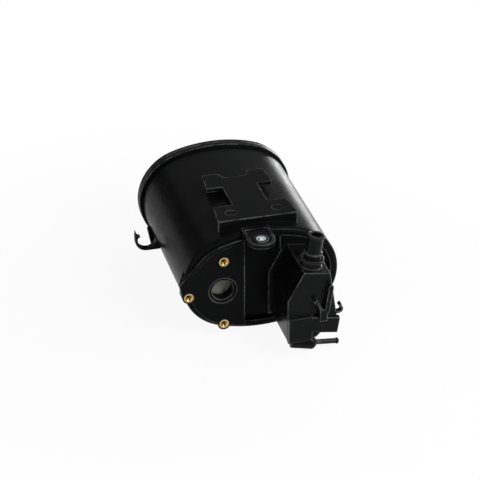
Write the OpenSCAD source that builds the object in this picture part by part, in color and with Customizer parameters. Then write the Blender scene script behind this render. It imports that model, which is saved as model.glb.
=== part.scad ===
// Fuel vapour canister: an oval moulded shell with two beds of activated carbon inside,
// a welded rear cover, and a vapour trap with hose nipples welded to the front wall.
// X points right, Y to the rear and Z up. The modules work from the body axis at the
// front shoulder, and set_down() puts the finished canister on Z = 0.

/* [Body] */
// Width of the oval body
body_w = 148; // [140:1:170]
// Height of the oval body
body_h = 104; // [98:1:116]
// Length from the front shoulder to the back of the rear cover
body_l = 178.5; // [165:0.5:230]
// Rise of the long sides above the radius of the round ends
crown_rise = 4; // [3:0.25:8]
// Thickness of the shell wall
wall = 2.8; // [2.2:0.1:3.4]
// Radius that rounds the front shoulder
shoulder_r = 4; // [3:0.5:5]
// Distance that the front land stands ahead of the shoulder line
land_fwd = 2.5; // [1.5:0.5:3]
// Depth of the flat along the belly and under the weld rim
belly_flat = 0.4; // [0.2:0.1:1]

/* [Rear joint] */
// Height of the weld rim above the body
rim_proud = 3; // [2:0.25:5]
// Thickness of the shell's weld rim
rim_t = 5; // [3.5:0.5:7]
// Thickness of the rear cover at its rim
cover_t = 6.5; // [6:0.25:9]
// Thickness of the cover's recessed panel
panel_t = 3; // [2.5:0.25:4]
// Width of the flat border round the cover's panel
panel_border = 11; // [8:0.5:16]
// Width and depth of the groove that traps weld flash
flash_groove = 1.2; // [0.8:0.1:1.6]
// Length of the lip that centres the cover in the shell
lip_l = 3; // [2:0.5:5]
// Width and depth of the step round the back of the cover
cover_step = 1.6; // [1:0.1:2.4]
// Thickness of the ribs on the back of the cover
cover_rib_t = 2; // [1.5:0.25:3]
// Depth of those ribs below the cover's border
cover_rib_sink = 1; // [0.5:0.25:2]

/* [Front face] */
// Distance that the valve pad stands ahead of the shoulder line
pad_fwd = 6; // [4.5:0.5:8]
// Border between the body outline and the valve pad
pad_inset = 4.7; // [4:0.1:6]
// Distance of the pad's straight inner edge from the left side of the body
pad_w = 57; // [54:0.5:59]
// Depth of the recess around the trap, behind the shoulder line
recess_back = 2; // [1:0.5:4]
// Border between the body outline and that recess
recess_inset = 7.7; // [6.5:0.1:8]

/* [Vent port] */
// Distance of the port from the left side of the body
port_inset = 36.2; // [34:0.1:38]
// Height of the port from the body axis
port_z = -5.2; // [-8:0.1:-2]
// Bore of the port
port_d = 20; // [16:0.5:22]
// Diameter of the seal seat at the mouth
seat_d = 26; // [24:0.5:28]
// Depth of the seal seat
seat_depth = 1.4; // [0.8:0.1:2]
// Depth of the bore from the pad face to the dust filter
port_l = 12; // [9:0.5:13]
// Wall around the filter socket
socket_wall = 2.2; // [1.6:0.1:2.6]
// Diameter of the dust filter
filter_d = 25; // [23.5:0.5:26]
// Thickness of the dust filter
filter_t = 5; // [3:0.5:6]

/* [Valve bosses] */
// Distance of the boss circle's centre from the left side of the body
boss_inset = 37.2; // [36:0.1:39]
// Height of the boss circle's centre from the body axis
boss_z = -8; // [-10:0.1:-6]
// Radius of the boss circle
boss_circle_r = 33.2; // [32:0.1:34.5]
// Diameter of a boss
boss_d = 12; // [11.5:0.25:13]
// Length of a boss behind the pad face
boss_l = 12; // [12:0.5:16]
// Sideways reach of the ear beside the left boss, from the boss axis
ear_w = 9; // [8:0.25:10]
// Height of the ear's corner above that axis
ear_rise = 14; // [12:0.5:16]
// Length of the ear along the body
ear_l = 12; // [10:0.5:14]
// Outside diameter of a threaded insert
insert_d = 9; // [8:0.1:9.8]
// Length of a threaded insert
insert_l = 8; // [6:0.5:8.5]
// Thread bore of an insert
insert_bore = 5; // [4:0.1:6]
// Length of the clear hole behind an insert
insert_relief = 2.5; // [1:0.5:3]
// Width of the groove round an insert
insert_groove_w = 1.5; // [1:0.1:2]
// Depth of that groove
insert_groove = 0.4; // [0.2:0.1:0.7]
// Height of the cone that leads a screw in
insert_lead = 0.7; // [0.4:0.1:1]

/* [Bracket lug] */
// Sideways position of the lug
lug_x = -5.2; // [-8:0.1:-3]
// Radius of the lug's round end
lug_r = 12.8; // [11.5:0.1:14]
// Distance of the bush ahead of the shoulder line
lug_reach = 18.2; // [15:0.1:24]
// Thickness of the lug
lug_t = 4.2; // [3.5:0.1:6]
// Width of the raised rim round the lug
lug_rim_w = 2.6; // [2:0.1:3.5]
// Depth of the sunk face inside that rim
lug_sink = 1.2; // [0.8:0.1:1.6]
// Outside diameter of the bush
bush_d = 9; // [8.5:0.1:11]
// Bore of the bush
bush_bore = 6.6; // [5.5:0.1:7]
// Thickness of the two gussets under the lug
gusset_t = 2; // [1.5:0.25:3]
// Height of those gussets
gusset_h = 9; // [6:0.5:12]

/* [Mount plate] */
// Height of the plate above the crown of the body
plate_h = 6; // [5:0.25:8]
// Thickness of the plate's wings
wing_t = 4.2; // [3.5:0.1:5]
// Distance of the plate behind the shoulder line
plate_y = 10.5; // [8:0.5:14]
// Length of the plate
plate_l = 91.5; // [84:0.5:110]
// Half width of the plate at its front edge
plate_front_hw = 37.6; // [34:0.1:40]
// Half width of the plate at its rear edge
plate_rear_hw = 30; // [27:0.1:33]
// Half width of the web between the wings
web_hw = 17; // [14:0.5:20]
// Depth of the front wings
front_wing_l = 28; // [24:0.5:32]
// Depth of the rear wings
rear_wing_l = 27; // [23:0.5:30]
// Depth of the notch in the rear edge
notch_l = 9.5; // [7:0.5:12]
// Half width of the notch at its bottom
notch_hw = 10; // [8:0.5:11.5]
// Radius of the plate's corners
plate_corner_r = 1.6; // [1:0.2:2.5]
// Thickness of the end wall under the front edge
stop_t = 3; // [2:0.25:4]
// Diameter of the two dimples on the front wings
dimple_d = 10; // [7:0.5:12]
// Depth of those dimples
dimple_depth = 0.6; // [0.3:0.1:1]

/* [Vapour trap] */
// Distance of the trap's front face ahead of the shoulder line
trap_fwd = 55; // [48:0.5:64]
// Wall of the trap
trap_wall = 2.5; // [2:0.1:3]
// Left side of the trap
trap_left = 9.6; // [8:0.1:11]
// Underside of the trap, from the body axis
trap_bottom = -37.5; // [-39:0.1:-35]
// Height at which the sloped left shoulder starts
trap_slope_z = 4.2; // [0:0.1:8]
// Sideways start of the top face
trap_top_x = 24.6; // [22:0.1:27]
// Height of the top face at its left edge
trap_top_z = 31.8; // [29:0.1:33]
// Slope of the top face down to the right, in degrees
trap_tilt = 8.75; // [5:0.25:11]
// Right edge of the top face
trap_right = 49.3; // [47:0.1:51]
// Widest point of the right side
trap_flare_x = 56.3; // [54:0.1:58]
// Height of that widest point
trap_flare_z = -18; // [-20:0.1:-15]
// Right end of the underside
trap_keel_x = 37; // [34:0.1:38]
// Width of the weld flange round the trap
flange_w = 2.6; // [2:0.1:3]
// Thickness of the weld flange
flange_t = 3; // [2:0.25:4]
// Left end of the tab on top of the weld flange
tab_x = 17.5; // [15:0.5:20]
// Border between the trap's outline and the window behind it
window_border = 4; // [3.5:0.25:6]

/* [Hose nipple] */
// Sideways position of the nipple's foot on the sloped top
nipple_x = 34; // [32:0.1:37]
// Distance of the nipple's axis ahead of the shoulder line
nipple_fwd = 42.5; // [38:0.1:44]
// Outside diameter of the nipple
nipple_d = 14.6; // [13:0.1:15.4]
// Bore of the nipple
nipple_bore = 10.4; // [8:0.1:11]
// Length of the nipple from the sloped top
nipple_l = 33; // [29:0.5:40]
// Height of the end lip above the nipple's wall; the stop bead is three times as high
bead_h = 0.45; // [0.3:0.05:0.6]
// Diameter of the collar at the foot
collar_d = 22; // [20.6:0.1:22.6]
// Height of the collar
collar_h = 10.4; // [8:0.1:12]
// Depth of the groove round the collar
collar_groove = 1.6; // [1:0.1:2]

/* [Lower outlet] */
// Distance that the outlet blocks stand ahead of the trap's face
block_fwd = 4.5; // [3:0.25:6]
// Top of the outlet blocks, from the body axis
block_top = -12.4; // [-14:0.1:-11]
// Height of the wide block
block_h = 17.5; // [15:0.5:19]
// Left end of the narrow block
block_left = 9.8; // [9.7:0.1:11]
// Distance that the narrow block hangs below the trap
block_drop = 2; // [1:0.25:3]
// Distance of the wide block's top below the narrow block's top
block_dip = 0.6; // [0.4:0.1:1.5]
// Sideways step between the two blocks
block_step_x = 32; // [29:0.5:34]
// Right end of the wide block
block_right = 58.4; // [57:0.1:60]
// Radius that rounds the blocks
block_r = 3.4; // [2:0.2:4]
// Left end of the outlet barrel
barrel_x = 13; // [11.5:0.1:15]
// Distance of the barrel's axis ahead of the shoulder line
barrel_fwd = 53.4; // [52.5:0.1:54.5]
// Height of the barrel's axis at its left end
barrel_z = -41.6; // [-42.4:0.1:-40.4]
// Slope of the barrel down to the right, in degrees
barrel_tilt = 5.5; // [3:0.25:7]
// Length of the barrel
barrel_l = 24; // [21:0.5:27]
// Largest radius of the barrel
barrel_r = 6.4; // [5.5:0.1:6.8]
// Radius of the barrel's left end
barrel_end_r = 4.2; // [3.5:0.1:5]
// Outside diameter of the small pipe
pipe_d = 4.9; // [4.5:0.1:6]
// Bore of the small pipe
pipe_bore = 2.6; // [2:0.1:3.2]
// Length of the small pipe
pipe_l = 22; // [18:0.5:28]

/* [Hose clips] */
// Distance that the front clip stands ahead of the trap's face
clip_fwd = 5.5; // [5:0.25:8]
// Stroke of the front clip's barbed arm
clip_t = 2.2; // [1.8:0.1:2.6]
// Sideways position of the front clip
clip_x = 42; // [40:0.25:44]
// Length of the barbed arm
clip_arm_l = 13; // [10:0.5:14]
// Lean of the barbed arm to the left, in degrees
clip_arm_lean = 24; // [18:1:30]
// Stroke of the front clip's strap
clip_strap_t = 4.4; // [3.2:0.1:4.8]
// Length of the strap
clip_strap_l = 25; // [22:0.5:26]
// Lean of the strap to the right, in degrees
clip_strap_lean = 8; // [6:1:10]
// Width of the foot under both
clip_foot_w = 7; // [6:0.25:8]
// Height of the foot
clip_foot_h = 12; // [10:0.5:14]
// Distance of the side hook behind the shoulder line
hook_y = 108; // [90:0.5:125]
// Width of the side hook along the body
hook_w = 5; // [4.5:0.25:8]
// Outer radius of the side hook's bend
hook_r = 11.5; // [10.5:0.1:13]
// Stroke of the side hook
hook_t = 2.6; // [2:0.1:3]
// Distance of the bend's centre outside the body
hook_out = 9.4; // [8.5:0.1:10.5]
// Height of the bend's centre from the body axis
hook_z = -7.5; // [-10:0.1:-5]
// Height of the side hook's tip above the bend's centre
hook_tip = 10.6; // [8:0.2:12]
// Reach of the barb inside that tip
hook_barb = 2.6; // [1.5:0.1:3.5]
// Length of the stiffening rib behind the side hook
hook_rib_l = 36; // [25:1:45]
// Width of that rib at the hook
hook_rib_w = 4; // [3:0.25:6]
// Stroke of the small hook on the trap
small_hook_t = 1.7; // [1.4:0.1:2]
// Radius of the small hook's bend
small_hook_r = 3.4; // [3:0.1:4.4]
// Length of the small hook's tip
small_hook_tip = 2; // [1.5:0.1:3]

/* [Carbon beds] */
// Distance of the wall between the two chambers from the left side of the body
partition_inset = 58; // [57:0.1:59.5]
// Thickness of that wall
partition_t = 2.6; // [2:0.1:3.2]
// Passage between the end of that wall and the cover
passage_l = 22; // [16:0.5:26]
// Distance of the front grids behind the shoulder line
grid_y = 18; // [16:0.5:22]
// Ledge that carries the grids
ledge = 2.4; // [1.8:0.1:3]
// Thickness of the grids
grid_t = 2.5; // [2:0.25:3.5]
// Thickness of the foam sheets
foam_t = 6; // [4:0.5:9]
// Thickness of the pressure plates
plate_t = 3; // [2.5:0.25:4]
// Diameter of the holes in grids and plates
hole_d = 6.5; // [5:0.5:8]
// Rows of those holes
hole_rows = 7; // [5:2:9]
// Columns of those holes in the main chamber
main_columns = 7; // [5:1:8]
// Columns of those holes in the vent chamber
vent_columns = 4; // [3:1:5]
// Clearance between the bed pieces and the walls
bed_clear = 0.25; // [0.15:0.05:0.5]

/* [Springs] */
// Length of the fitted springs
spring_l = 33; // [30:0.5:36]
// Mean diameter of the springs
spring_d = 24; // [20:0.5:28]
// Diameter of the spring wire
wire_d = 1.8; // [1.4:0.1:2.2]
// Number of turns
spring_turns = 6; // [5:1:7]
// Height of the pegs that centre the springs
peg_h = 4; // [3:0.5:6]
// Distance of the two main springs above and below the body axis
spring_z = 24; // [20:0.5:30]

/* [Hidden] */
$fn = 64;
cut = 1;
// Angle at which a rounded edge leaves the faces beside it
crease = 10;

plastic = "#1b1c1d";
brass = "#c8a04a";
steel = "#c4c8cc";
fleece = "#b9b9b2";
foam = "#5a5b58";
carbon = "#232323";
natural = "#d9d6cc";

// The oval is four tangent arcs: two ends of radius end_r and two long arcs of radius flat_r.
end_r = body_h / 2 - crown_rise;
end_c = body_w / 2 - end_r;
flat_k = (pow(end_c, 2) - pow(crown_rise, 2)) / (2 * crown_rise);
flat_r = body_h / 2 + flat_k;
end_a = atan2(flat_k, end_c);
crown_z = body_h / 2;

// What belongs to the vent side keeps its distance from the left side of the body.
left_x = -body_w / 2;
pad_edge_x = left_x + pad_w;
port_x = left_x + port_inset;
boss_x = left_x + boss_inset;
partition_x = left_x + partition_inset;

// Stations along the body
shoulder_y = shoulder_r - land_fwd;
cover_y = body_l - cover_t;
recess_floor_y = recess_back + wall;
pad_floor_y = wall - pad_fwd;
partition_end_y = cover_y - passage_l;
foam_y = grid_y + grid_t;
bed_y = foam_y + foam_t;
plate_face_y = cover_y - spring_l - plate_t;
bed_end_y = plate_face_y - foam_t;
filter_y = port_l - pad_fwd;

// The two chambers are named by the side of the wall that they lie on.
VENT = -1;
MAIN = 1;
LOWER = -1;
UPPER = 1;
vent_spring_x = (partition_x - partition_t / 2 + wall + left_x) / 2;
main_spring_x = (partition_x + partition_t / 2 - wall + body_w / 2) / 2;
peg_d = spring_d - wire_d - 2 * bed_clear;
relief_d = (insert_d + insert_bore) / 2;

trap_right_z = trap_top_z - (trap_right - trap_top_x) * tan(trap_tilt);
trap_outline = [
    [trap_left, trap_bottom], [trap_keel_x, trap_bottom], [trap_flare_x, trap_flare_z],
    [trap_right, trap_right_z], [trap_top_x, trap_top_z], [trap_left, trap_slope_z]
];
nipple_z = trap_top_z - (nipple_x - trap_top_x) * tan(trap_tilt);

hook_x = left_x - hook_out;
part_min = [hook_x - hook_r, -trap_fwd - clip_fwd, -crown_z - rim_proud + belly_flat];
part_max = [body_w / 2 + rim_proud, body_l, 0];
rest_shift = [-(part_min[0] + part_max[0]) / 2, -(part_min[1] + part_max[1]) / 2, -part_min[2]];

function unit(v) = v / norm(v);
function left_of(v) = [-v[1], v[0]];
function spin(v, a) = [v[0] * cos(a) - v[1] * sin(a), v[0] * sin(a) + v[1] * cos(a)];

// Closed outline moved inwards by d, with mitred corners; points run anticlockwise.
function inset(points, d) = let (n = len(points)) [
    for (i = [0:n - 1])
        let (n1 = left_of(unit(points[i] - points[(i + n - 1) % n])))
        let (n2 = left_of(unit(points[(i + 1) % n] - points[i])))
        points[i] + d * (n1 + n2) / (1 + n1 * n2)
];

// Closed outline with every corner replaced by an arc of radius r.
function rounded(points, r, steps = 6) = let (n = len(points)) [
    for (i = [0:n - 1])
        let (u1 = unit(points[i] - points[(i + n - 1) % n]))
        let (u2 = unit(points[(i + 1) % n] - points[i]))
        let (turn = atan2(cross(u1, u2), u1 * u2))
        let (n1 = left_of(u1) * sign(turn))
        let (n2 = left_of(u2) * sign(turn))
        let (centre = points[i] + r * (n1 + n2) / (1 + n1 * n2))
        for (j = [0:steps]) centre - r * spin(n1, turn * j / steps)
];

// Outline of a bent bar of width t with round ends, along a line of points.
function band(points, t, steps = 6) = let (last = len(points) - 1)
    let (runs = [for (i = [0:last - 1]) unit(points[i + 1] - points[i])])
    let (sides = [
        for (i = [0:last])
            let (n1 = left_of(runs[max(i - 1, 0)]))
            let (n2 = left_of(runs[min(i, last - 1)]))
            t / 2 * (n1 + n2) / (1 + n1 * n2)
    ])
    concat(
        [for (i = [0:last]) points[i] - sides[i]],
        [for (j = [1:steps - 1]) points[last] - spin(sides[last], 180 * j / steps)],
        [for (i = [last:-1:0]) points[i] + sides[i]],
        [for (j = [1:steps - 1]) points[0] + spin(sides[0], 180 * j / steps)]
    );

// Edge of a chamber along the partition, moved into the chamber by d.
function chamber_edge(side, d) = partition_x + side * (partition_t / 2 + d);

module set_down() {
    translate(rest_shift) children();
}

// A section drawn in X and Z, carried along Y
module prism_y(y0, y1) {
    translate([0, y1, 0]) rotate([90, 0, 0]) linear_extrude(y1 - y0) children();
}

// A section drawn in Y and Z, carried along X
module prism_x(x0, x1) {
    translate([x0, 0, 0]) rotate([90, 0, 90]) linear_extrude(x1 - x0) children();
}

// A round bar along Y
module rod_y(p, d, y0, y1) {
    translate([p[0], y1, p[1]]) rotate([90, 0, 0]) cylinder(d = d, h = y1 - y0);
}

// The body outline, moved outwards by d
module oval(d = 0) {
    tangent_x = end_c + (end_r + d) * cos(end_a);
    intersection() {
        translate([0, -flat_k]) circle(flat_r + d, $fn = 240);
        translate([0, flat_k]) circle(flat_r + d, $fn = 240);
        square([2 * tangent_x, body_h + 4 * abs(d) + cut], center = true);
    }
    for (side = [-1, 1]) translate([side * end_c, 0]) circle(end_r + d, $fn = 120);
}

// The same outline with a narrow flat underneath, for the canister to stand on
module flat_oval(d = 0) {
    difference() {
        oval(d);
        translate([-body_w, -crown_z - d + belly_flat - body_h]) square([2 * body_w, body_h]);
    }
}

// A section turned round the body outline: X is the distance outside it, Y runs to the front
module oval_turned() {
    rotate([90, 0, 0]) for (side = [0, 1]) {
        mirror([side, 0, 0]) translate([end_c, 0, 0]) rotate([0, 0, -end_a])
            rotate_extrude(angle = 2 * end_a, $fn = 240) translate([end_r, 0]) children();
        mirror([0, side, 0]) translate([0, -flat_k, 0]) rotate([0, 0, end_a])
            rotate_extrude(angle = 180 - 2 * end_a, $fn = 240) translate([flat_r, 0]) children();
    }
}

// What a rounded edge takes off a square corner at the origin
module edge_round(r) {
    reach = r * cos(crease);
    translate([-reach, -reach]) difference() {
        square(reach + cut);
        circle(r);
    }
}

// The chamber on one side of the partition, less d all round
module chamber(side, d = 0) {
    edge = chamber_edge(side, d);
    intersection() {
        oval(-wall - d);
        translate([side > 0 ? edge : edge - body_w, -body_h]) square([body_w, 2 * body_h]);
    }
}

// Rows and columns of holes that share out the chamber, without those in its round corners
module hole_field(side) {
    margin = ledge + hole_d / 2;
    columns = side > 0 ? main_columns : vent_columns;
    last_row = (hole_rows - 1) / 2;
    near = chamber_edge(side, margin);
    far = side * (body_w / 2 - wall - margin);
    pitch = [(far - near) / columns, (body_h - 2 * (wall + margin)) / hole_rows];
    for (i = [0.5:columns - 0.5], j = [-last_row:last_row])
        if (norm([(i + 0.5) / (columns + 0.5), 2 * j / hole_rows]) < 1)
            translate([near + i * pitch[0], j * pitch[1]]) circle(d = hole_d, $fn = 24);
}

module boss_places() {
    for (a = [90, 180, 270])
        translate([boss_x + boss_circle_r * cos(a), 0, boss_z + boss_circle_r * sin(a)]) children();
}

// Outer form of the shell: a straight wall, a round shoulder and the rear weld rim
module shell_form() {
    difference() {
        prism_y(-land_fwd, cover_y) flat_oval();
        oval_turned() translate([0, land_fwd]) edge_round(shoulder_r);
    }
    prism_y(cover_y - rim_t, cover_y) flat_oval(rim_proud);
}

// Ear that fairs the boss outside the oval into the side of the body
module ear() {
    axis = [boss_x - boss_circle_r, boss_z];
    corner = axis + [-ear_w, ear_rise];
    top = axis + [ear_w / 2, 2.1 * ear_rise];
    intersection() {
        prism_y(-pad_fwd, ear_l - pad_fwd)
            polygon(rounded([axis - [boss_d / 2, 0], axis, top, corner], boss_d / 12));
        translate([0, -pad_fwd, -body_h / 2]) linear_extrude(body_h)
            polygon([[corner[0] - cut, 0], [0, 0], [0, ear_l], [axis[0] - boss_d / 4, ear_l]]);
    }
}

// D-shaped valve pad with its bosses
module valve_pad() {
    prism_y(-pad_fwd, shoulder_y) intersection() {
        oval(-pad_inset);
        translate([pad_edge_x - body_w, -body_h]) square([body_w, 2 * body_h]);
    }
    boss_places() rod_y([0, 0], boss_d, -pad_fwd, boss_l - pad_fwd);
    ear();
}

module lug_plan(r) {
    translate([lug_x, -lug_reach]) circle(r);
    translate([lug_x - r, -lug_reach]) square([2 * r, lug_reach]);
}

module lug() {
    difference() {
        translate([0, 0, crown_z - lug_t]) linear_extrude(lug_t) {
            lug_plan(lug_r);
            translate([lug_x - lug_r, -cut]) square([2 * lug_r, recess_floor_y + cut]);
        }
        translate([0, 0, crown_z - lug_sink]) linear_extrude(lug_sink + cut)
            lug_plan(lug_r - lug_rim_w);
        translate([lug_x, -lug_reach, crown_z - lug_t - cut]) cylinder(d = bush_d, h = lug_t + 2 * cut);
    }
    translate([lug_x, -lug_reach, crown_z - lug_t]) difference() {
        cylinder(d = bush_d + 2 * lug_rim_w, h = lug_t);
        translate([0, 0, -cut]) cylinder(d = bush_d, h = lug_t + 2 * cut);
    }
    for (side = [-1, 1])
        translate([lug_x + side * (lug_r - 2 * gusset_t), 0, 0]) prism_x(-gusset_t / 2, gusset_t / 2)
            polygon([
                [recess_back + cut, crown_z - lug_t + cut], [-lug_reach, crown_z - lug_t + cut],
                [-lug_reach, crown_z - lug_t], [recess_back + cut, crown_z - lug_t - gusset_h]
            ]);
}

// Half width of the mount plate at a distance behind its front edge
function plate_hw(y) = plate_front_hw + (plate_rear_hw - plate_front_hw) * y / plate_l;

function plate_half() = [
    [plate_hw(0), 0], [plate_hw(front_wing_l), front_wing_l], [web_hw, front_wing_l],
    [web_hw, plate_l - rear_wing_l], [plate_hw(plate_l - rear_wing_l), plate_l - rear_wing_l],
    [plate_hw(plate_l), plate_l], [1.5 * notch_hw, plate_l], [notch_hw, plate_l - notch_l]
];

// I-shaped plate on a web, with wings that a bracket slides under and a stop at the front
module mount_plate() {
    half = plate_half();
    outline = concat(half, [for (i = [len(half) - 1:-1:0]) [-half[i][0], half[i][1]]]);
    top_z = crown_z + plate_h;
    difference() {
        translate([0, plate_y, 0]) {
            translate([0, 0, top_z - wing_t]) linear_extrude(wing_t)
                polygon(rounded(outline, plate_corner_r));
            translate([-web_hw, 0, 0]) cube([2 * web_hw, plate_l - notch_l, top_z - cut]);
            translate([-plate_front_hw, 0, 0]) cube([2 * plate_front_hw, stop_t, top_z - cut]);
        }
        prism_y(-cut, plate_y + 2 * plate_l) oval(-wall / 2);
        for (side = [-1, 1])
            translate([side * (web_hw + dimple_d / 2), plate_y + front_wing_l / 2, top_z - dimple_depth])
                cylinder(d = dimple_d, h = dimple_depth + cut);
    }
}

// J-shaped hose hook on the side of the body, with its root and stiffening rib
module side_hook_outline() {
    inner_r = hook_r - hook_t;
    translate([hook_x, hook_z]) {
        difference() {
            circle(hook_r);
            circle(inner_r);
            translate([-hook_r - cut, 0]) square([2 * hook_r + 2 * cut, hook_r + cut]);
            translate([0, -hook_r / 2]) square([hook_r + cut, hook_r]);
        }
        polygon([
            [-hook_r, -cut / 2], [-inner_r, -cut / 2], [-inner_r, hook_tip / 5],
            [-inner_r + hook_barb, 2 * hook_tip / 5], [-inner_r, hook_tip / 2],
            [-hook_r + hook_t / 4, hook_tip], [-hook_r, hook_tip / 2]
        ]);
        difference() {
            translate([0, -hook_r]) square([hook_out + end_r / 4, hook_r - hook_t / 2]);
            circle(inner_r);
        }
    }
}

module side_hook() {
    difference() {
        union() {
            prism_y(hook_y, hook_y + hook_w) side_hook_outline();
            translate([left_x, hook_y, hook_z - hook_r]) linear_extrude(hook_t) polygon([
                [-hook_rib_w, 0], [end_r / 4, 0], [end_r / 4, hook_w + hook_rib_l],
                [-hook_t / 8, hook_w + hook_rib_l], [-hook_rib_w, hook_w]
            ]);
        }
        prism_y(0, body_l) oval(-wall / 2);
    }
}

// Tube behind the vent port, stepped to take the dust filter
module port_tube() {
    socket_d = filter_d + 2 * (socket_wall + bed_clear);
    rod_y([port_x, port_z], socket_d, -pad_fwd + cut, filter_y + filter_t);
}

module canister_shell() {
    color(plastic) difference() {
        union() {
            difference() {
                union() {
                    shell_form();
                    valve_pad();
                    mount_plate();
                    side_hook();
                }
                for (side = [VENT, MAIN]) prism_y(grid_y, cover_y + cut) chamber(side);
                prism_y(partition_end_y, cover_y + cut) oval(-wall);
                prism_y(recess_floor_y, grid_y + cut) chamber(MAIN, ledge);
                prism_y(shoulder_y, grid_y + cut) chamber(VENT, ledge);
                prism_y(pad_floor_y, grid_y) chamber(VENT, pad_inset);
                prism_y(-land_fwd - cut, recess_back) intersection() {
                    oval(-recess_inset);
                    translate([pad_edge_x, -body_h]) square([body_w, 2 * body_h]);
                }
            }
            port_tube();
            lug();
            intersection() {
                boss_places() rod_y([0, 0], boss_d, -pad_fwd, boss_l - pad_fwd);
                prism_y(-pad_fwd, boss_l - pad_fwd) oval();
            }
        }
        rod_y([port_x, port_z], port_d, -pad_fwd - cut, filter_y + cut);
        rod_y([port_x, port_z], seat_d, -pad_fwd - cut, -pad_fwd + seat_depth);
        rod_y([port_x, port_z], filter_d + 2 * bed_clear, filter_y, filter_y + filter_t + cut);
        boss_places() rod_y([0, 0], insert_d, -pad_fwd - cut, -pad_fwd + insert_l);
        boss_places() rod_y([0, 0], relief_d, -pad_fwd, -pad_fwd + insert_l + insert_relief);
        prism_y(recess_back - cut, recess_floor_y + cut) polygon(inset(trap_outline, window_border));
    }
}

// Welded end cover: a grooved rim, a recessed panel with ribs, a centring lip and spring pegs
module rear_cover() {
    rib_y = body_l - cover_rib_sink;
    color(plastic) {
        difference() {
            union() {
                prism_y(cover_y, cover_y + 2 * flash_groove) oval(rim_proud - flash_groove);
                prism_y(cover_y + flash_groove, body_l - cover_step) flat_oval(rim_proud);
                prism_y(cover_y + flash_groove, body_l) oval(rim_proud - cover_step);
            }
            difference() {
                prism_y(cover_y + panel_t, body_l + cut) oval(-panel_border);
                for (i = [-2:2]) translate([i * body_w / 6 - cover_rib_t / 2, 0, -body_h])
                    cube([cover_rib_t, rib_y, 2 * body_h]);
                for (i = [-1:1]) translate([-body_w, 0, i * body_h / 4 - cover_rib_t / 2])
                    cube([2 * body_w, rib_y, cover_rib_t]);
            }
        }
        prism_y(cover_y - lip_l, cover_y) difference() {
            oval(-wall - bed_clear);
            oval(-wall - bed_clear - panel_t);
        }
        spring_places() rod_y([0, 0], peg_d, cover_y - peg_h, cover_y);
    }
}

module spring_places() {
    translate([vent_spring_x, 0, 0]) children();
    for (side = [LOWER, UPPER]) translate([main_spring_x, 0, side * spring_z]) children();
}

// Hose nipple on the sloped top, turned about its own axis: grooved collar, stop bead and end lip
module nipple_section() {
    r = nipple_d / 2;
    lip_r = r + bead_h;
    stop_r = r + 3 * bead_h;
    collar_r = collar_d / 2;
    neck_r = collar_r - collar_groove;
    foot_r = collar_r - bead_h;
    stop_z = 4 * collar_h / 3;
    lip_z = nipple_l - 7 * bead_h;
    polygon([
        [0, -trap_wall], [foot_r, -trap_wall], [foot_r, collar_h / 4 - bead_h], [neck_r, collar_h / 4],
        [neck_r, 3 * collar_h / 4 - bead_h], [collar_r, 3 * collar_h / 4],
        [collar_r, collar_h - bead_h], [collar_r - 2 * bead_h, collar_h], [r, collar_h],
        [r, stop_z], [stop_r, stop_z + bead_h], [stop_r, stop_z + 4 * bead_h], [r, stop_z + 5 * bead_h],
        [r, lip_z], [lip_r, lip_z + bead_h], [lip_r, nipple_l - bead_h], [r - bead_h, nipple_l],
        [0, nipple_l]
    ]);
}

module at_nipple() {
    translate([nipple_x, -nipple_fwd, nipple_z]) rotate([0, trap_tilt, 0]) children();
}

// Outlet barrel and small pipe, turned about one sloping axis
module barrel_section() {
    r = pipe_d / 2;
    end = barrel_l + pipe_l;
    lip = pipe_d / 10;
    polygon([
        [0, 0], [barrel_end_r - lip, 0], [barrel_end_r, 2 * lip], [barrel_r, 5 * barrel_l / 6],
        [barrel_r - lip, 9 * barrel_l / 10], [barrel_end_r - lip, barrel_l], [r, barrel_l],
        [r, end - 5 * lip], [r + lip, end - 4 * lip], [r + lip, end - 2 * lip], [r - lip / 2, end], [0, end]
    ]);
}

module at_barrel() {
    translate([barrel_x, -barrel_fwd, barrel_z]) rotate([0, 90 + barrel_tilt, 0]) children();
}

// Rounded block along X on the trap's lower front
module outlet_block(x0, x1, z0, z1) {
    back_y = -trap_fwd + trap_wall;
    front_y = -trap_fwd - block_fwd;
    prism_x(x0, x1) polygon(rounded([[front_y, z0], [back_y, z0], [back_y, z1], [front_y, z1]], block_r));
}

// Hose clip on the trap's face: a foot, a short barbed arm and a long strap
module front_clip() {
    foot = [clip_x, block_top];
    arm = foot + [-clip_t / 2, clip_foot_h / 3];
    arm_tip = arm + clip_arm_l * spin([0, 1], clip_arm_lean);
    strap = foot + [3 * clip_t / 2, clip_foot_h / 3];
    prism_y(-trap_fwd - clip_fwd, -trap_fwd + cut) {
        translate(foot - [clip_foot_w / 2, clip_foot_h / 2]) square([clip_foot_w, clip_foot_h]);
        polygon(band([arm, arm_tip, arm_tip + clip_t * spin([-1, 0], clip_arm_lean)], clip_t));
        polygon(band([strap, strap + clip_strap_l * spin([0, 1], -clip_strap_lean)], clip_strap_t));
    }
}

// Small hook on the trap's right side: a round bend and a flicked tip
module small_hook() {
    root = [trap_flare_x - small_hook_t, trap_flare_z + small_hook_r];
    bend = [for (a = [-90:20:30]) root + small_hook_r * [1 + cos(a), 1 + sin(a)]];
    tip = bend[len(bend) - 1] + small_hook_tip * [-1, 1];
    prism_y(-trap_fwd, -trap_fwd + clip_fwd)
        polygon(band(concat([root], bend, [tip, tip + small_hook_tip * [1, 1] / 2]), small_hook_t));
}

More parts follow.
